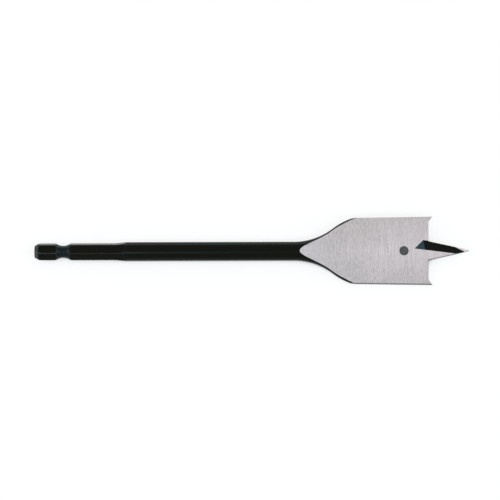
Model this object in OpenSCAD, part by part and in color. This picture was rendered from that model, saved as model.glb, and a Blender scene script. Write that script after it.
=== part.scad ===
// Spade drill bit: one forged, blackened and ground piece of tool steel.
// A round bar has a quick-change hex milled on one end and is pressed into a wide blank at the other.
// The faces, sides, lips, spurs and point of the blank are then ground bright.
// The bit is made along X with its tip at +X and its front face at +Z, and then laid down at rest.

/* [Shank] */
// Length from the shank's end to the tip of the point
overall_length = 178; // [150:1:300]
// Diameter of the round shank
shank_d = 7.8; // [7.4:0.1:9]
// Width across the flats of the hex, the 1/4 inch drive
hex_af = 6.35; // [6:0.05:6.5]
// Length of the hex at its full depth
hex_length = 32; // [26:0.5:60]
// Radius of the wheel that cuts the flats, and so of their run-outs
hex_wheel_r = 25; // [15:1:40]
// Turn of the hex about the axis, away from a corner in line with the blade's faces
hex_turn = 14.4; // [0:0.1:60]
// Diameter of the flat end face of the hex
end_face_d = 4.9; // [3:0.1:5.5]
// Angle between the end chamfer and the axis
end_chamfer_angle = 30; // [20:1:50]
// Distance from the shank's end to the middle of the ball detent groove
detent_x = 11.7; // [9:0.1:14]
// Smallest diameter of the detent groove
detent_d = 4.95; // [4:0.05:5.5]
// Radius of the detent groove's hollow profile
detent_r = 4.8; // [3:0.1:6]

/* [Forged blade] */
// Length from the start of the flare to the cutting lips
blade_length = 55.3; // [46:0.1:80]
// Length of the double curve that widens the shank to the blade
shoulder_length = 32.3; // [24:0.1:40]
// Thickness of the pressed blank before grinding
forged_t = 3.2; // [3:0.1:4]
// Distance from the start of the flare to where the pressing starts to thin the bar
press_start = 7.4; // [4:0.1:10]
// Length over which the pressing thins the bar
press_length = 15; // [10:0.5:18]
// Width left on each side of the blank for the grinding
side_stock = 1.2; // [0.6:0.05:1.5]

/* [Ground blade] */
// Cutting diameter, across the tips of the two spurs
blade_d = 28; // [20:0.5:36]
// Thickness between the ground faces
blade_t = 2.2; // [1.8:0.1:2.6]
// Distance from the start of the flare to the start of the ground faces
face_start = 2.4; // [1:0.1:4]
// Radius of the wheel that hollows the faces' run-out towards the shank
face_wheel_r = 150; // [100:5:200]
// Narrowing of each side from the spurs back to the shoulder, in degrees
back_taper = 0.86; // [0.3:0.02:1.5]
// Clearance angle of the sides
side_relief = 11.5; // [5:0.5:15]
// Diameter of the hole for drawing a wire back through the work
hole_d = 3.8; // [3:0.1:6]
// Distance from the hole's centre back from the lips
hole_setback = 10.1; // [8:0.1:20]

/* [Cutting end] */
// Length of the point beyond the lips
point_length = 16.6; // [12:0.1:22]
// Width of the point where it leaves the lips
point_root_w = 7.75; // [6:0.05:9]
// Width of the blunt tip
point_tip_w = 0.7; // [0.4:0.05:1.2]
// Clearance angle of the point's edges
point_relief = 8; // [4:0.5:14]
// Clearance angle of the lips and of the spurs' inner edges
lip_relief = 8.5; // [5:0.5:14]
// Height of the spurs beyond the lips
spur_h = 1.64; // [1:0.02:2.4]
// Width of the spurs at the lips
spur_w = 2.1; // [1.4:0.05:3]
// Distance from the lips back to the start of the point's flute
flute_setback = 5.7; // [4:0.1:7]
// Distance of the flute's start from the axis
flute_start_y = 0.89; // [0.5:0.01:1.2]
// Slant of the flute towards the axis, in degrees
flute_slant = 7.2; // [5:0.1:9]
// Width of the flute, from its steep wall to where its floor comes up to the face
flute_w = 3.87; // [3.5:0.01:4.5]
// Slope of the flute's floor, which rakes the edge of the point
flute_rake = 11.7; // [9:0.1:13]
// Slope of the ramp at the flute's start
ramp_slope = 13; // [10:0.5:20]
// Lean of the flute's steep wall
wall_lean = 20; // [10:1:35]
// Distance from the tip back to the start of the tip's facet
facet_setback = 6; // [4:0.1:8]
// Slope of the tip's facet
facet_slope = 12; // [9:0.5:14]

/* [Hidden] */

black_oxide = [0.09, 0.10, 0.09];
ground_steel = [0.76, 0.74, 0.76];

// Places along the axis
lip_x = overall_length - point_length;
neck_x = lip_x - blade_length;
spur_x = lip_x + spur_h;

// The ground side's half width at a place along the axis
function side_half(x) = blade_d / 2 - (spur_x - x) * tan(back_taper);

// The blank's outline: two equal arcs, one after the other, then a line along the ground sides
shoulder_x = neck_x + shoulder_length;
shoulder_rise = side_half(shoulder_x) + side_stock - shank_d / 2;
shoulder_angle = 2 * atan(shoulder_rise / shoulder_length);
shoulder_r = shoulder_length / (2 * sin(shoulder_angle));
function arc_rise(run) = shoulder_r - sqrt(pow(shoulder_r, 2) - pow(run, 2));
function blank_half(x) =
    x < neck_x ? shank_d / 2 :
    x < neck_x + shoulder_length / 2 ? shank_d / 2 + arc_rise(x - neck_x) :
    x < shoulder_x ? shank_d / 2 + shoulder_rise - arc_rise(shoulder_x - x) :
    side_half(x) + side_stock;

// The blank's half thickness, which eases from the bar's radius to the pressed thickness
function pressed(x) = min(1, max(0, (x - neck_x - press_start) / press_length));
function blank_edge(x) = shank_d / 2 - (shank_d - forged_t) / 2 * (1 - cos(180 * pressed(x))) / 2;

// The bar's radius at the start of the blank is a hair larger, so that the two run into each other
blank_inset = 0.02;
blank_overlap = 1;
shoulder_steps = 22;
ring_points = 48;
blank_stations = concat(
    [neck_x - blank_overlap],
    [for (i = [0:shoulder_steps]) neck_x + shoulder_length * i / shoulder_steps],
    [overall_length + blank_overlap]);

// One section of the blank: a circle at the shank, and a strip with round edges at the blade
function blank_ring(x) =
    let (edge = blank_edge(x) - blank_inset, reach = blank_half(x) - blank_inset - edge)
    [for (i = [0:ring_points - 1])
        let (turn = 360 * (i + 0.5) / ring_points)
        [x, sign(cos(turn)) * reach + edge * cos(turn), edge * sin(turn)]];

// The run of the wheel's arc from the bar's surface down to a flat
function wheel_run(wheel_r, depth) = sqrt(2 * wheel_r * depth - pow(depth, 2));
face_flat_x = neck_x + face_start + wheel_run(face_wheel_r, (shank_d - blade_t) / 2);

point_half_angle = atan((point_root_w - point_tip_w) / 2 / point_length);
spur_edge_angle = atan2(spur_w, spur_h);

// The flute starts at the corner between its steep wall and its ramp, on the front face
flute_start = [lip_x - flute_setback, flute_start_y, blade_t / 2];
flute_far_side = flute_start + flute_w * [sin(flute_slant), cos(flute_slant), 0];
ramp_azimuth = -45;

// The tip's facet leaves the edge of the point at the depth of the flute's floor there
facet_azimuth = 45;
facet_x = overall_length - facet_setback;
facet_y = point_tip_w / 2 + facet_setback * tan(point_half_angle);
facet_in = (flute_far_side.y - facet_y) * cos(flute_slant) - (facet_x - flute_far_side.x) * sin(flute_slant);
facet_start = [facet_x, facet_y, blade_t / 2 - facet_in * tan(flute_rake)];

// At rest the round shank and the corner of the lower spur touch the surface below
rest_roll = asin(shank_d / norm([blade_d, blade_t])) - atan(blade_t / blade_d);

far = 4 * blade_d;

// Everything on the outer side of a plane through a point, given the azimuth and tilt of its normal
module half_space(point, azimuth, tilt) {
    translate(point)
        rotate([0, -tilt, azimuth])
            translate([0, -far / 2, -far / 2])
                cube(far);
}

// The path of a wheel that comes down along an arc and then runs level along +X
module wheel_path(wheel_r) {
    rotate([90, 0, 0])
        linear_extrude(far, center = true) {
            translate([0, wheel_r])
                circle(wheel_r, $fn = 360);
            square([far, wheel_r]);
        }
}

// Round bar with a chamfered end
module shank_bar() {
    chamfer_length = (shank_d - end_face_d) / 2 / tan(end_chamfer_angle);
    rotate([0, 90, 0])
        rotate_extrude($fn = 96)
            polygon([
                [0, 0],
                [end_face_d / 2, 0],
                [shank_d / 2, chamfer_length],
                [shank_d / 2, neck_x],
                [0, neck_x]]);
}

// Pressed blank: a loft from the bar's circle to a wide strip
module forged_blank() {
    last = len(blank_stations) - 1;
    polyhedron(
        points = [for (x = blank_stations) each blank_ring(x)],
        faces = concat(
            [[for (i = [0:ring_points - 1]) i]],
            [for (s = [0:last - 1], i = [0:ring_points - 1])
                let (a = s * ring_points + i, b = s * ring_points + (i + 1) % ring_points)
                [a, a + ring_points, b + ring_points, b]],
            [[for (i = [ring_points - 1:-1:0]) last * ring_points + i]]));
}

// Six flats with round run-outs
module hex_flats() {
    for (i = [0:5])
        rotate([hex_turn + 60 * i + 30, 0, 0])
            translate([hex_length, 0, hex_af / 2])
                mirror([1, 0, 0])
                    wheel_path(hex_wheel_r);
}

// Hollow groove round the hex for the ball of a quick-change holder
module detent_groove() {
    translate([detent_x, 0, 0])
        rotate([0, 90, 0])
            rotate_extrude($fn = 96)
                translate([detent_d / 2 + detent_r, 0])
                    circle(detent_r, $fn = 96);
}

// Front face, hollowed by the wheel where it runs out on the neck
module face_grind() {
    translate([face_flat_x, 0, blade_t / 2])
        wheel_path(face_wheel_r);
}

// Side with its back taper and clearance, sharp along the front face
module side_grind() {
    half_space([spur_x, blade_d / 2, blade_t / 2], 90 + back_taper, -side_relief);
}

// Space in front of one lip, between the point and the spur
module lip_grind() {
    intersection() {
        half_space([lip_x, 0, blade_t / 2], 0, -lip_relief);
        half_space([lip_x, point_root_w / 2, blade_t / 2], 90 - point_half_angle, -point_relief);
        half_space([spur_x, blade_d / 2, blade_t / 2], spur_edge_angle - 90, -lip_relief);
    }
}

// End of the tip in front of the blunt point
module tip_grind() {
    half_space([overall_length, 0, 0], 0, 0);
}

// Facet that thins the tip towards its edge, clear of the spurs
module tip_facet() {
    intersection() {
        half_space(facet_start, facet_azimuth, 90 - facet_slope);
        half_space([spur_x, 0, 0], 0, 0);
    }
}

// Flute pressed into the front of the point, which rakes its cutting edge
module point_flute() {
    intersection() {
        half_space(flute_start, 90 - flute_slant, wall_lean);
        half_space(flute_start, ramp_azimuth, 90 - ramp_slope);
        half_space(flute_far_side, -90 - flute_slant, 90 - flute_rake);
    }
}

// Through hole in the blade
module pull_hole() {
    translate([lip_x - hole_setback, 0, 0])
        cylinder(d = hole_d, h = 2 * blade_t, center = true, $fn = 96);
}

// The whole bit, lying on its round shank and the corner of one spur
module spade_bit() {
    translate([-overall_length / 2, 0, shank_d / 2])
        rotate([rest_roll, 0, 0])
            difference() {
                color(black_oxide)
                    union() {
                        shank_bar();
                        forged_blank();
                    }
                color(black_oxide)
                    hex_flats();
                color(black_oxide)
                    detent_groove();
                for (turn = [0, 180])
                    rotate([turn, 0, 0]) {
                        color(ground_steel)
                            face_grind();
                        color(ground_steel)
                            side_grind();
                        color(ground_steel)
                            lip_grind();
                        color(black_oxide)
                            point_flute();
                        color(ground_steel)
                            tip_facet();
                    }
                color(ground_steel)
                    tip_grind();
                color(black_oxide)
                    pull_hole();
            }
}

spade_bit();
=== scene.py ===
import math

import bmesh
import bpy
from mathutils import Matrix, Vector


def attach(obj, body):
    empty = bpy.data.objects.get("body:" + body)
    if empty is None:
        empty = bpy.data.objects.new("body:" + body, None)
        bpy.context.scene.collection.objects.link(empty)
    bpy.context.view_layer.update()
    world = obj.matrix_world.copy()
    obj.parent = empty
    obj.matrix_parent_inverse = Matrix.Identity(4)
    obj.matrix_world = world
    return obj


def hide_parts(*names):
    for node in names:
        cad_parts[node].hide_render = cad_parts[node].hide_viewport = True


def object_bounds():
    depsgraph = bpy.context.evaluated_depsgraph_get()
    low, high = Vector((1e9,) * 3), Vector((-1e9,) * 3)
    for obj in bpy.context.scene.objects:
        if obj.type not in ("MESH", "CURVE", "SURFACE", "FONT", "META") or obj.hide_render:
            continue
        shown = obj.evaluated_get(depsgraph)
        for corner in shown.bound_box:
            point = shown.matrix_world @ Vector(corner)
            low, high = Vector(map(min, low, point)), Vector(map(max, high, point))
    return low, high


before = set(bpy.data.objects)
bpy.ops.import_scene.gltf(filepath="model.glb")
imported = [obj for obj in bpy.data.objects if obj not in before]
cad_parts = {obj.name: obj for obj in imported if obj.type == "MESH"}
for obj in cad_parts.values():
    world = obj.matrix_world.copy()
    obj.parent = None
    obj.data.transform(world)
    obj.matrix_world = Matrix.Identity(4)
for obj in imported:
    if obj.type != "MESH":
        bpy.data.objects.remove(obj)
cad_low, cad_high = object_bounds()


# Round bar
# The bit starts as a length of round tool steel bar, cut off and chamfered at the shank's end.
# It lies along X in its own frame here, from the shank's end at 0 to the tip, with its front at +Z.
# Its black oxide is worn along the edges, most of all on the end that goes into the holder; this lighter
# colour is partly wear and partly a painted highlight.
mm = 0.001
bit_length = cad_high.x - cad_low.x
shank_r = 3.9 * mm
end_face_r = 2.45 * mm
chamfer_angle = math.radians(30)
chamfer_length = (shank_r - end_face_r) / math.tan(chamfer_angle)
point_length = 16.6 * mm
blade_length = 55.3 * mm
lip_x = bit_length - point_length
neck_x = lip_x - blade_length
shoulder_length = 32.3 * mm
shoulder_x = neck_x + shoulder_length
bar_sides = 96
shoulder_steps = 60
spare = 1 * mm
weld_gap = 0.001 * mm
finishes = []


def new_finish(name):
    """Adds a finish for the bit, and gives its nodes, its shader and its number."""
    finish = bpy.data.materials.new(name)
    finish.use_nodes = True
    finishes.append(finish)
    return finish.node_tree, finish.node_tree.nodes["Principled BSDF"], len(finishes) - 1


def place_on_bit(tree):
    """The Object coordinates of a point on the bit, as X, Y and Z."""
    place = tree.nodes.new("ShaderNodeTexCoord")
    split = tree.nodes.new("ShaderNodeSeparateXYZ")
    tree.links.new(place.outputs["Object"], split.inputs["Vector"])
    return split.outputs


def grain(tree, size, detail, roll=0):
    """Noise on Object coordinates whose grain has the given size along and across the bit."""
    place = tree.nodes.new("ShaderNodeTexCoord")
    turn = tree.nodes.new("ShaderNodeMapping")
    turn.vector_type = "TEXTURE"
    turn.inputs["Rotation"].default_value = (roll, 0, 0)
    turn.inputs["Scale"].default_value = size
    noise = tree.nodes.new("ShaderNodeTexNoise")
    noise.inputs["Scale"].default_value = 1
    noise.inputs["Detail"].default_value = detail
    noise.inputs["Roughness"].default_value = 0.6
    tree.links.new(place.outputs["Object"], turn.inputs["Vector"])
    tree.links.new(turn.outputs["Vector"], noise.inputs["Vector"])
    return noise.outputs["Fac"]


def spread(tree, value, low, high, to_low, to_high):
    """Maps a value from one range to another."""
    stretch = tree.nodes.new("ShaderNodeMapRange")
    for name, number in (("From Min", low), ("From Max", high), ("To Min", to_low), ("To Max", to_high)):
        stretch.inputs[name].default_value = number
    tree.links.new(value, stretch.inputs["Value"])
    return stretch.outputs["Result"]


def combine(tree, operation, first, second):
    """Adds or multiplies two values, or takes the larger."""
    joined = tree.nodes.new("ShaderNodeMath")
    joined.operation = operation
    tree.links.new(first, joined.inputs[0])
    tree.links.new(second, joined.inputs[1])
    return joined.outputs["Value"]


def blend(tree, share, first, second):
    """Mixes two colours, each a plain colour or another node's colour."""
    mix = tree.nodes.new("ShaderNodeMix")
    mix.data_type = "RGBA"
    tree.links.new(share, mix.inputs["Factor"])
    for socket, colour in ((mix.inputs[6], first), (mix.inputs[7], second)):
        if isinstance(colour, tuple):
            socket.default_value = (*colour, 1)
        else:
            tree.links.new(colour, socket)
    return mix.outputs[2]


def relief(tree, shader, height, depth, strength):
    """Raises the surface by a value, as bump."""
    bump = tree.nodes.new("ShaderNodeBump")
    bump.inputs["Strength"].default_value = strength
    bump.inputs["Distance"].default_value = depth
    tree.links.new(height, bump.inputs["Height"])
    tree.links.new(bump.outputs["Normal"], shader.inputs["Normal"])


oxide, oxide_shader, BLACK = new_finish("black_oxide")
oxide_dark = (0.0024, 0.002, 0.0003)
oxide_light = (0.0054, 0.0046, 0.0014)
worn_through_and_highlight = (0.15, 0.165, 0.16)
edge_wear_and_highlight_r = 0.25 * mm
end_wear_and_highlight_x = cad_low.x + 1.7 * mm
end_bare_and_highlight_x = cad_low.x + 1.2 * mm
holder_wear_and_highlight_x = cad_low.x + 13 * mm
holder_bare_and_highlight_x = cad_low.x + 8 * mm
mottle = grain(oxide, (1.1 * mm, 0.8 * mm, 0.8 * mm), 6)
drawn_lines = grain(oxide, (20 * mm, 0.25 * mm, 0.25 * mm), 3)
rounded = oxide.nodes.new("ShaderNodeBevel")
rounded.samples = 6
rounded.inputs["Radius"].default_value = edge_wear_and_highlight_r
true_normal = oxide.nodes.new("ShaderNodeNewGeometry")
flatness = oxide.nodes.new("ShaderNodeVectorMath")
flatness.operation = "DOT_PRODUCT"
oxide.links.new(rounded.outputs["Normal"], flatness.inputs[0])
oxide.links.new(true_normal.outputs["Normal"], flatness.inputs[1])
along_shank = place_on_bit(oxide)["X"]
# Painted highlight and wear: edges and the end chamfer are mixed towards a lighter colour, partly as wear and
# partly in place of their glints.
edge_wear_and_highlight = spread(oxide, flatness.outputs["Value"], 0.995, 0.93, 0, 1)
end_wear_and_highlight = spread(oxide, along_shank, end_wear_and_highlight_x, end_bare_and_highlight_x, 0, 0.35)
patchy = spread(oxide, mottle, 0.35, 0.65, 0.25, 0.9)
holder_wear_and_highlight = spread(oxide, along_shank, holder_wear_and_highlight_x, holder_bare_and_highlight_x, 0.8, 2)
wear_and_painted_highlight = combine(oxide, "MAXIMUM", edge_wear_and_highlight, end_wear_and_highlight)
wear_and_painted_highlight = combine(oxide, "MULTIPLY", wear_and_painted_highlight, patchy)
wear_and_painted_highlight = combine(oxide, "MULTIPLY", wear_and_painted_highlight, holder_wear_and_highlight)
oxide_colour = blend(oxide, mottle, oxide_dark, oxide_light)
oxide.links.new(blend(oxide, wear_and_painted_highlight, oxide_colour, worn_through_and_highlight), oxide_shader.inputs["Base Color"])
oxide.links.new(spread(oxide, drawn_lines, 0.3, 0.7, 0.15, 0.24), oxide_shader.inputs["Roughness"])
oxide_shader.inputs["Specular IOR Level"].default_value = 0.08
oxide_shader.inputs["Specular Tint"].default_value = (0.78, 0.94, 1, 1)
relief(oxide, oxide_shader, mottle, 0.02 * mm, 0.15)


def solid(name, mesh, finish):
    """Makes an object of a bmesh, with all its faces in one finish."""
    for face in mesh.faces:
        face.material_index = finish
    data = bpy.data.meshes.new(name)
    mesh.to_mesh(data)
    mesh.free()
    for material in finishes:
        data.materials.append(material)
    made = bpy.data.objects.new(name, data)
    bpy.context.scene.collection.objects.link(made)
    return made


bar = bmesh.new()
stations = [neck_x + shoulder_length * i / shoulder_steps for i in range(shoulder_steps + 1)]
profile = [(0, 0), (0, end_face_r), (chamfer_length, shank_r)]
profile += [(x, shank_r) for x in stations]
profile += [(bit_length + spare, shank_r), (bit_length + spare, 0)]
half_side = math.pi / bar_sides
corners = [bar.verts.new((x, r * math.cos(half_side), r * math.sin(half_side))) for x, r in profile]
edges = [bar.edges.new(pair) for pair in zip(corners, corners[1:])]
bmesh.ops.spin(bar, geom=corners + edges, cent=(0, 0, 0), axis=(1, 0, 0), angle=2 * math.pi,
               steps=bar_sides, use_merge=True, use_duplicate=False)
bmesh.ops.remove_doubles(bar, verts=bar.verts[:], dist=weld_gap)


# Forged blank
# The far end of the bar is pressed hot into a wide blank with round edges.
# Its outline swells to the blade in two equal arcs, and its thickness eases from the bar's to the blank's.
blade_r = 14 * mm
blade_t = 2.2 * mm
forged_t = 3.2 * mm
press_start = 7.4 * mm
press_length = 15 * mm
side_stock = 1.2 * mm
inset = 0.02 * mm
back_taper = math.radians(0.86)
spur_h = 1.64 * mm
spur_x = lip_x + spur_h


def side_half(x):
    """Half the width of the ground blade, which narrows a little behind its spurs."""
    return blade_r - (spur_x - x) * math.tan(back_taper)


shoulder_rise = side_half(shoulder_x) + side_stock - shank_r
shoulder_r = shoulder_length / (2 * math.sin(2 * math.atan(shoulder_rise / shoulder_length)))


def arc_rise(run):
    """How far a shoulder's arc has risen from its end."""
    return shoulder_r - math.sqrt(shoulder_r ** 2 - run ** 2)


def blank_half(x):
    """Half the width of the blank."""
    if x < neck_x + shoulder_length / 2:
        return shank_r + arc_rise(x - neck_x)
    if x < shoulder_x:
        return shank_r + shoulder_rise - arc_rise(shoulder_x - x)
    return side_half(x) + side_stock


def blank_edge(x):
    """The radius of the blank's round edge, half its thickness."""
    pressed = min(1, max(0, (x - neck_x - press_start) / press_length))
    return shank_r - (shank_r - forged_t / 2) * (1 - math.cos(math.pi * pressed)) / 2


for corner in bar.verts:
    across = math.hypot(corner.co.y, corner.co.z)
    if corner.co.x > neck_x and across > 0:
        edge_r = blank_edge(corner.co.x) - inset
        flat = blank_half(corner.co.x) - inset - edge_r
        corner.co.y = math.copysign(flat, corner.co.y) + edge_r * corner.co.y / across
        corner.co.z = edge_r * corner.co.z / across
bmesh.ops.recalc_face_normals(bar, faces=bar.faces[:])
bit = solid("spade_bit_steel", bar, BLACK)


# Hex shank
# Six flats are milled on the bar for a quick-change holder, each with the round run-out of the wheel.
# A hollow groove turned round them takes the holder's locking ball, and has a smoother blue-black finish.
hex_half = 6.35 / 2 * mm
hex_length = 32 * mm
hex_wheel_r = 25 * mm
hex_turn = math.radians(14.4)
run_out_steps = 24
detent_x = 11.7 * mm
detent_root_r = 2.475 * mm
detent_r = 4.8 * mm
detent_steps = 96
right_angle = math.pi / 2
far = 8 * blade_r


def machine(tool, operation="DIFFERENCE"):
    """Cuts the bit with a tool's path, cleans the cut, and removes the tool."""
    for finish in finishes[len(bit.data.materials):]:
        bit.data.materials.append(finish)
    cut = bit.modifiers.new("cut", "BOOLEAN")
    cut.operation = operation
    cut.solver = "EXACT"
    cut.object = tool
    with bpy.context.temp_override(object=bit, active_object=bit):
        bpy.ops.object.modifier_apply(modifier=cut.name)
    cleaned = bmesh.new()
    cleaned.from_mesh(bit.data)
    bmesh.ops.remove_doubles(cleaned, verts=cleaned.verts[:], dist=weld_gap)
    bmesh.ops.dissolve_degenerate(cleaned, edges=cleaned.edges[:], dist=weld_gap)
    cleaned.to_mesh(bit.data)
    cleaned.free()
    data = tool.data
    bpy.data.objects.remove(tool)
    bpy.data.meshes.remove(data)


def run_out(run):
    """Half the width across the flats, at a distance past their level part."""
    return hex_half + hex_wheel_r - math.sqrt(hex_wheel_r ** 2 - run ** 2)


clear_rise = shank_r + spare - hex_half
clear_run = math.sqrt(2 * hex_wheel_r * clear_rise - clear_rise ** 2)
openings = [(hex_length + clear_run * i / run_out_steps, run_out(clear_run * i / run_out_steps))
            for i in range(run_out_steps + 1)]
openings += [(neck_x / 2, 2 * blade_r), (bit_length + 2 * spare, 2 * blade_r)]
flats = bmesh.new()
bmesh.ops.create_circle(flats, segments=6, radius=hex_half / math.cos(math.pi / 6), matrix=(
    Matrix.Translation((-spare, 0, 0)) @ Matrix.Rotation(right_angle + hex_turn, 4, "X")
    @ Matrix.Rotation(right_angle, 4, "Y")))
rim = flats.edges[:]
bmesh.ops.contextual_create(flats, geom=rim)
half_now = hex_half
for x, half in openings:
    grown = bmesh.ops.extrude_edge_only(flats, edges=rim)["geom"]
    rim = [item for item in grown if isinstance(item, bmesh.types.BMEdge)]
    for corner in [item for item in grown if isinstance(item, bmesh.types.BMVert)]:
        corner.co = Vector((x, corner.co.y * half / half_now, corner.co.z * half / half_now))
    half_now = half
bmesh.ops.contextual_create(flats, geom=rim)
bmesh.ops.recalc_face_normals(flats, faces=flats.faces[:])
machine(solid("hex_flats", flats, BLACK), "INTERSECT")

turned, turned_shader, TURNED = new_finish("turned_oxide")
turned_dark = (0.001, 0.0012, 0.001)
turned_light = (0.004, 0.005, 0.005)
tool_lines = grain(turned, (0.15 * mm, 3 * mm, 3 * mm), 3)
turned.links.new(blend(turned, tool_lines, turned_dark, turned_light), turned_shader.inputs["Base Color"])
turned.links.new(spread(turned, tool_lines, 0.3, 0.7, 0.12, 0.2), turned_shader.inputs["Roughness"])
turned_shader.inputs["Specular IOR Level"].default_value = 0.18
turned_shader.inputs["Specular Tint"].default_value = (0.6, 0.87, 1, 1)
relief(turned, turned_shader, tool_lines, 0.02 * mm, 0.2)
groove = bmesh.new()
bmesh.ops.create_circle(groove, segments=detent_steps, radius=detent_r, matrix=(
    Matrix.Translation((detent_x, detent_root_r + detent_r, 0))))
bmesh.ops.spin(groove, geom=groove.verts[:] + groove.edges[:], cent=(0, 0, 0), axis=(1, 0, 0),
               angle=2 * math.pi, steps=bar_sides, use_merge=True, use_duplicate=False)
bmesh.ops.remove_doubles(groove, verts=groove.verts[:], dist=weld_gap)
bmesh.ops.recalc_face_normals(groove, faces=groove.faces[:])
machine(solid("detent_groove", groove, TURNED))


# Ground blade
# After the bit is blackened, its two faces are hollow ground into the neck and level along the blade.
# The sides, lips, spurs and point are then ground with clearance, and the same half a turn round.
# The faces are brushed across the bit, and their colour darkens to their sides and the neck as painted shade.
# The ground edges are duller, and their colour is painted dark as painted shade.
face_start = 2.4 * mm
face_wheel_r = 150 * mm
face_depth = shank_r - blade_t / 2
face_flat_x = neck_x + face_start + math.sqrt(2 * face_wheel_r * face_depth - face_depth ** 2)
face_steps = 300
side_relief = math.radians(11.5)
lip_relief = math.radians(8.5)
point_relief = math.radians(8)
point_root_w = 7.75 * mm
point_tip_w = 0.7 * mm
point_half_angle = math.atan((point_root_w - point_tip_w) / 2 / point_length)
spur_w = 2.1 * mm
spur_edge_angle = math.atan2(spur_w, spur_h)
front = blade_t / 2
rest_roll = math.asin(2 * shank_r / math.hypot(2 * blade_r, blade_t)) - math.atan(blade_t / (2 * blade_r))

ground, ground_shader, BRIGHT = new_finish("ground_steel")
steel_light = (0.662, 0.596, 0.608)
steel_toned_and_shaded = (0.427, 0.391, 0.393)
line_dark = (0.325, 0.298, 0.303)
stroke_light = (0.71, 0.655, 0.66)
neck_painted_shade_x = cad_low.x + neck_x + 6.9 * mm
painted_shade_end_x = cad_low.x + neck_x + 30.9 * mm
wheel_lines = grain(ground, (0.26 * mm, 9 * mm, 9 * mm), 3, rest_roll)
strokes = grain(ground, (0.28 * mm, 1.6 * mm, 1.6 * mm), 2, rest_roll)
tint = grain(ground, (14 * mm, 9 * mm, 9 * mm), 2, rest_roll)
on_face = place_on_bit(ground)
off_axis = ground.nodes.new("ShaderNodeMath")
off_axis.operation = "ABSOLUTE"
ground.links.new(on_face["Y"], off_axis.inputs[0])
uneven = spread(ground, tint, 0.42, 0.58, 0, 0.3)
# Painted shade: the face's colour darkens towards its sides and towards the neck, for the fall-off of its
# brushed highlight; the random tint is its own.
painted_shade_to_sides = spread(ground, off_axis.outputs["Value"], 0, blade_r, 0, 0.85)
painted_shade_to_neck = spread(ground, on_face["X"], neck_painted_shade_x, painted_shade_end_x, 0.9, 0)
tint_and_painted_shade = combine(ground, "ADD", combine(ground, "ADD", uneven, painted_shade_to_sides), painted_shade_to_neck)
steel_colour = blend(ground, tint_and_painted_shade, steel_light, steel_toned_and_shaded)
lined_colour = blend(ground, spread(ground, wheel_lines, 0.3, 0.7, 1, 0), steel_colour, line_dark)
brushed_colour = blend(ground, spread(ground, strokes, 0.35, 0.65, 0, 0.4), lined_colour, stroke_light)
ground.links.new(brushed_colour, ground_shader.inputs["Base Color"])
ground.links.new(spread(ground, wheel_lines, 0.3, 0.7, 0.38, 0.27), ground_shader.inputs["Roughness"])
ground_shader.inputs["Metallic"].default_value = 1
relief(ground, ground_shader, wheel_lines, 0.01 * mm, 0.2)

# Painted shade: the relief faces' steel is far darker than the faces', in place of the dark surroundings they
# would mirror; their wheel marks and roughness are their own.
coarse_and_shaded, coarse_and_shaded_shader, DULL_AND_SHADED = new_finish("edge_steel_painted_dark")
edge_dark = (0.06, 0.059, 0.057)
edge_light = (0.2, 0.195, 0.192)
wheel_marks = grain(coarse_and_shaded, (0.3 * mm, 0.3 * mm, 5 * mm), 4, rest_roll)
coarse_and_shaded.links.new(blend(coarse_and_shaded, wheel_marks, edge_dark, edge_light), coarse_and_shaded_shader.inputs["Base Color"])
coarse_and_shaded.links.new(spread(coarse_and_shaded, wheel_marks, 0.3, 0.7, 0.5, 0.36), coarse_and_shaded_shader.inputs["Roughness"])
coarse_and_shaded_shader.inputs["Metallic"].default_value = 1
relief(coarse_and_shaded, coarse_and_shaded_shader, wheel_marks, 0.02 * mm, 0.3)


def plane(point, azimuth, tilt):
    """A grinding plane: a point on it and its outward normal, from the normal's azimuth and tilt."""
    level = math.cos(tilt)
    return Vector(point), Vector((level * math.cos(azimuth), level * math.sin(azimuth), math.sin(tilt)))


def outside(*planes):
    """The space on the outer side of every plane."""
    space = bmesh.new()
    bmesh.ops.create_cube(space, size=2 * far, matrix=Matrix.Translation(planes[0][0]))
    for point, normal in planes:
        cut = bmesh.ops.bisect_plane(space, geom=space.verts[:] + space.edges[:] + space.faces[:],
                                     plane_co=point, plane_no=normal, clear_inner=True)
        rim = [e for e in cut["geom_cut"] if isinstance(e, bmesh.types.BMEdge)]
        bmesh.ops.contextual_create(space, geom=rim)
    bmesh.ops.recalc_face_normals(space, faces=space.faces[:])
    return space


def both_faces(name, make_path, finish):
    """Cuts a path on the front face, and the same path half a turn round on the back."""
    for turn in (0, math.pi):
        path = make_path()
        bmesh.ops.rotate(path, verts=path.verts[:], cent=(0, 0, 0), matrix=Matrix.Rotation(turn, 3, "X"))
        machine(solid(name, path, finish))


def face_path():
    """A box whose lower edge is rounded as the wheel would leave it, then level along the blade."""
    path = bmesh.new()
    height = face_wheel_r * 1.2
    bmesh.ops.create_cube(path, size=1)
    bmesh.ops.transform(path, verts=path.verts[:], matrix=(
        Matrix.Translation((face_flat_x + (far - face_wheel_r) / 2, 0, front + height / 2))
        @ Matrix.Diagonal((far + face_wheel_r, far, height, 1))))
    lower = [e for e in path.edges if all(v.co.x < face_flat_x and v.co.z < shank_r for v in e.verts)]
    bmesh.ops.bevel(path, geom=lower, offset=face_wheel_r, offset_type="OFFSET", segments=face_steps,
                    profile=0.5, affect="EDGES", material=-1, clamp_overlap=False)
    return path


side_plane = plane((spur_x, blade_r, front), right_angle + back_taper, -side_relief)
lip_plane = plane((lip_x, 0, front), 0, -lip_relief)
point_plane = plane((lip_x, point_root_w / 2, front), right_angle - point_half_angle, -point_relief)
spur_plane = plane((spur_x, blade_r, front), spur_edge_angle - right_angle, -lip_relief)
both_faces("face_grind", face_path, BRIGHT)
both_faces("side_grind", lambda: outside(side_plane), DULL_AND_SHADED)
both_faces("lip_grind", lambda: outside(lip_plane, point_plane, spur_plane), DULL_AND_SHADED)


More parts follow.
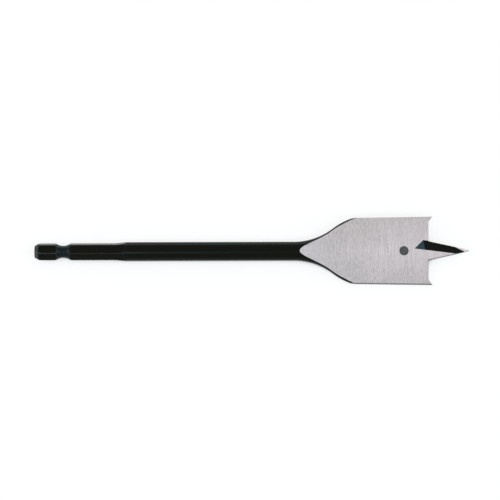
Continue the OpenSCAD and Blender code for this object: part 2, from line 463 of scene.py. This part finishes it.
# Fluted point
# A flute with a steep wall is pressed in beside each edge of the point, and keeps its black finish.
# A small facet then thins the tip towards its edge, and the end of the tip is left blunt.
flute_slant = math.radians(7.2)
flute_rake = math.radians(11.7)
flute_w = 3.87 * mm
flute_setback = 5.7 * mm
flute_offset = 0.89 * mm
ramp_slope = math.radians(13)
wall_lean = math.radians(20)
facet_slope = math.radians(12)
facet_setback = 6 * mm
flute_start = Vector((lip_x - flute_setback, flute_offset, front))
flute_far_side = flute_start + flute_w * Vector((math.sin(flute_slant), math.cos(flute_slant), 0))
wall_plane = plane(flute_start, right_angle - flute_slant, wall_lean)
ramp_plane = plane(flute_start, -right_angle / 2, right_angle - ramp_slope)
floor_plane = plane(flute_far_side, -right_angle - flute_slant, right_angle - flute_rake)
both_faces("point_flute", lambda: outside(wall_plane, ramp_plane, floor_plane), BLACK)

facet_x = bit_length - facet_setback
facet_y = point_tip_w / 2 + facet_setback * math.tan(point_half_angle)
facet_in = ((flute_far_side.y - facet_y) * math.cos(flute_slant)
            - (facet_x - flute_far_side.x) * math.sin(flute_slant))
facet_start = (facet_x, facet_y, front - facet_in * math.tan(flute_rake))
facet_plane = plane(facet_start, right_angle / 2, right_angle - facet_slope)
past_spurs = plane((spur_x, 0, 0), 0, 0)
both_faces("tip_facet", lambda: outside(facet_plane, past_spurs), BRIGHT)
machine(solid("tip_grind", outside(plane((bit_length, 0, 0), 0, 0)), DULL_AND_SHADED))


# Wire hole
# A plain hole is punched through the blade before the bit is blackened.
# A wire tied there is drawn back through the drilled hole.
hole_x = lip_x - 10.1 * mm
hole_r = 1.9 * mm
hole_sides = 72
punch = bmesh.new()
bmesh.ops.create_cone(punch, cap_ends=True, segments=hole_sides, radius1=hole_r, radius2=hole_r,
                      depth=4 * blade_t, matrix=Matrix.Translation((hole_x, 0, 0)))
machine(solid("wire_hole", punch, BLACK))


# Finished bit
# The bit lies as it comes to rest, on its round shank and the corner of the lower spur.
# Only tangent faces share their shading, so that ground edges stay crisp.
crisp = math.radians(8)
fine_gap = 0.0005 * mm
shape = bmesh.new()
shape.from_mesh(bit.data)
bmesh.ops.remove_doubles(shape, verts=shape.verts[:], dist=fine_gap)
bmesh.ops.dissolve_degenerate(shape, edges=shape.edges[:], dist=fine_gap)
for face in shape.faces:
    face.smooth = True
for edge in shape.edges:
    same_finish = len({face.material_index for face in edge.link_faces}) == 1
    edge.smooth = same_finish and edge.calc_face_angle(0) < crisp
bmesh.ops.transform(shape, verts=shape.verts[:], matrix=(
    Matrix.Translation((cad_low.x, 0, shank_r)) @ Matrix.Rotation(rest_roll, 4, "X")))
shape.to_mesh(bit.data)
shape.free()
even = bit.modifiers.new("even_shading", "WEIGHTED_NORMAL")
even.keep_sharp = True
even.weight = 100
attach(bit, "root")
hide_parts("spade_bit")


# Floor, light and camera
# A grey floor glows white where it is seen or mirrored, a little more away from the bit; the glow fades under
# the bit as a painted shadow, over its faint real shadow.
# Large soft boxes light it from both sides, a strip from behind, and two small pale blue windows overhead
# give the shank, the groove and the flute their glints.
# The camera looks nearly square at the blade, a little from below, through a long lens.
floor_size = 4
floor_grey = 0.3
painted_shadow_reach = 12 * mm
near_floor = 0.3
far_floor = 1.2
floor_mesh = bmesh.new()
bmesh.ops.create_grid(floor_mesh, x_segments=1, y_segments=1, size=floor_size)
floor_data = bpy.data.meshes.new("floor")
floor_mesh.to_mesh(floor_data)
floor_mesh.free()
floor = bpy.data.objects.new("floor", floor_data)
bpy.context.scene.collection.objects.link(floor)
floor_paint = bpy.data.materials.new("floor_paint")
floor_paint.use_nodes = True
paint = floor_paint.node_tree
paint_shader = paint.nodes["Principled BSDF"]
paint_shader.inputs["Base Color"].default_value = (floor_grey, floor_grey, floor_grey, 1)
paint_shader.inputs["Roughness"].default_value = 0.9
paint_shader.inputs["Specular IOR Level"].default_value = 0


def seen_rays(tree):
    """1 for the rays that show a background: from the camera, mirrored, or through glass."""
    rays = tree.nodes.new("ShaderNodeLightPath")
    seen = rays.outputs["Is Camera Ray"]
    for name in ("Is Glossy Ray", "Is Transmission Ray"):
        seen = combine(tree, "MAXIMUM", seen, rays.outputs[name])
    return seen


painted_floor_shade = paint.nodes.new("ShaderNodeAmbientOcclusion")
painted_floor_shade.inputs["Distance"].default_value = painted_shadow_reach
from_centre = paint.nodes.new("ShaderNodeVectorMath")
from_centre.operation = "LENGTH"
paint.links.new(paint.nodes.new("ShaderNodeTexCoord").outputs["Object"], from_centre.inputs[0])
# Painted shadow: the floor's glow grows away from the bit and fades out under it where ambient occlusion
# finds the bit close by.
glow_with_painted_shadow = spread(paint, from_centre.outputs["Value"], near_floor, far_floor, 0.76, 0.95)
glow_with_painted_shadow = combine(paint, "MULTIPLY", glow_with_painted_shadow, seen_rays(paint))
glow_with_painted_shadow = combine(paint, "MULTIPLY", glow_with_painted_shadow, spread(paint, painted_floor_shade.outputs["AO"], 0.25, 0.45, 0, 1))
paint_shader.inputs["Emission Color"].default_value = (1, 1, 1, 1)
paint.links.new(glow_with_painted_shadow, paint_shader.inputs["Emission Strength"])
floor_data.materials.append(floor_paint)

world = bpy.data.worlds.new("studio")
world.use_nodes = True
sky = world.node_tree
dim_sky = sky.nodes["Background"]
dim_sky.inputs["Color"].default_value = (1, 1, 1, 1)
dim_sky.inputs["Strength"].default_value = 0.5
seen_sky = sky.nodes.new("ShaderNodeBackground")
seen_sky.inputs["Color"].default_value = (1, 1, 1, 1)
seen_sky.inputs["Strength"].default_value = 1
sky_mix = sky.nodes.new("ShaderNodeMixShader")
sky.links.new(seen_rays(sky), sky_mix.inputs["Fac"])
sky.links.new(dim_sky.outputs["Background"], sky_mix.inputs[1])
sky.links.new(seen_sky.outputs["Background"], sky_mix.inputs[2])
sky.links.new(sky_mix.outputs["Shader"], sky.nodes["World Output"].inputs["Surface"])
bpy.context.scene.world = world


def softbox(name, place, width, height, power, colour):
    """A flat lamp that faces the middle of the bit."""
    lamp_data = bpy.data.lights.new(name, "AREA")
    lamp_data.shape = "RECTANGLE"
    lamp_data.size = width
    lamp_data.size_y = height
    lamp_data.energy = power
    lamp_data.color = colour
    lamp = bpy.data.objects.new(name, lamp_data)
    lamp.location = place
    lamp.rotation_mode = "QUATERNION"
    lamp.rotation_quaternion = (-Vector(place)).to_track_quat("-Z", "Y")
    bpy.context.scene.collection.objects.link(lamp)


softbox("left_box", (-1.0, -0.1, 0.7), 1.0, 1.0, 3.5, (1, 1, 1))
softbox("right_box", (1.0, -0.1, 0.7), 1.0, 1.0, 3.5, (1, 1, 1))
softbox("left_window", (-0.22, -0.6, 1.04), 0.24, 0.28, 2, (0.6, 0.86, 1))
softbox("right_window", (0.54, -0.52, 1.05), 0.14, 0.14, 1.5, (0.45, 0.8, 1))
softbox("back_strip", (0, 0.8, 0.06), 1.2, 0.12, 2.2, (0.86, 0.97, 1))

view_tilt = math.radians(4)
picture_turn = math.radians(0.15)
picture_width = 205 * mm
look_at_right = -0.76 * mm
look_at_up = 0.54 * mm
elevation = right_angle - rest_roll - view_tilt
back = Vector((0, -math.cos(elevation), math.sin(elevation)))
picture_up = Vector((0, math.sin(elevation), math.cos(elevation)))
aim = Vector((look_at_right, 0, shank_r)) + look_at_up * picture_up
roll_in_picture = Matrix.Rotation(-picture_turn, 3, "Z").to_quaternion()
camera_data = bpy.data.cameras.new("camera")
camera_data.lens = 200
camera_data.clip_end = 10
camera = bpy.data.objects.new("camera", camera_data)
camera.location = aim + back * picture_width * camera_data.lens / camera_data.sensor_width
camera.rotation_mode = "QUATERNION"
camera.rotation_quaternion = (-back).to_track_quat("-Z", "Y") @ roll_in_picture
bpy.context.scene.collection.objects.link(camera)
bpy.context.scene.camera = camera
bpy.context.scene.view_settings.view_transform = "Standard"
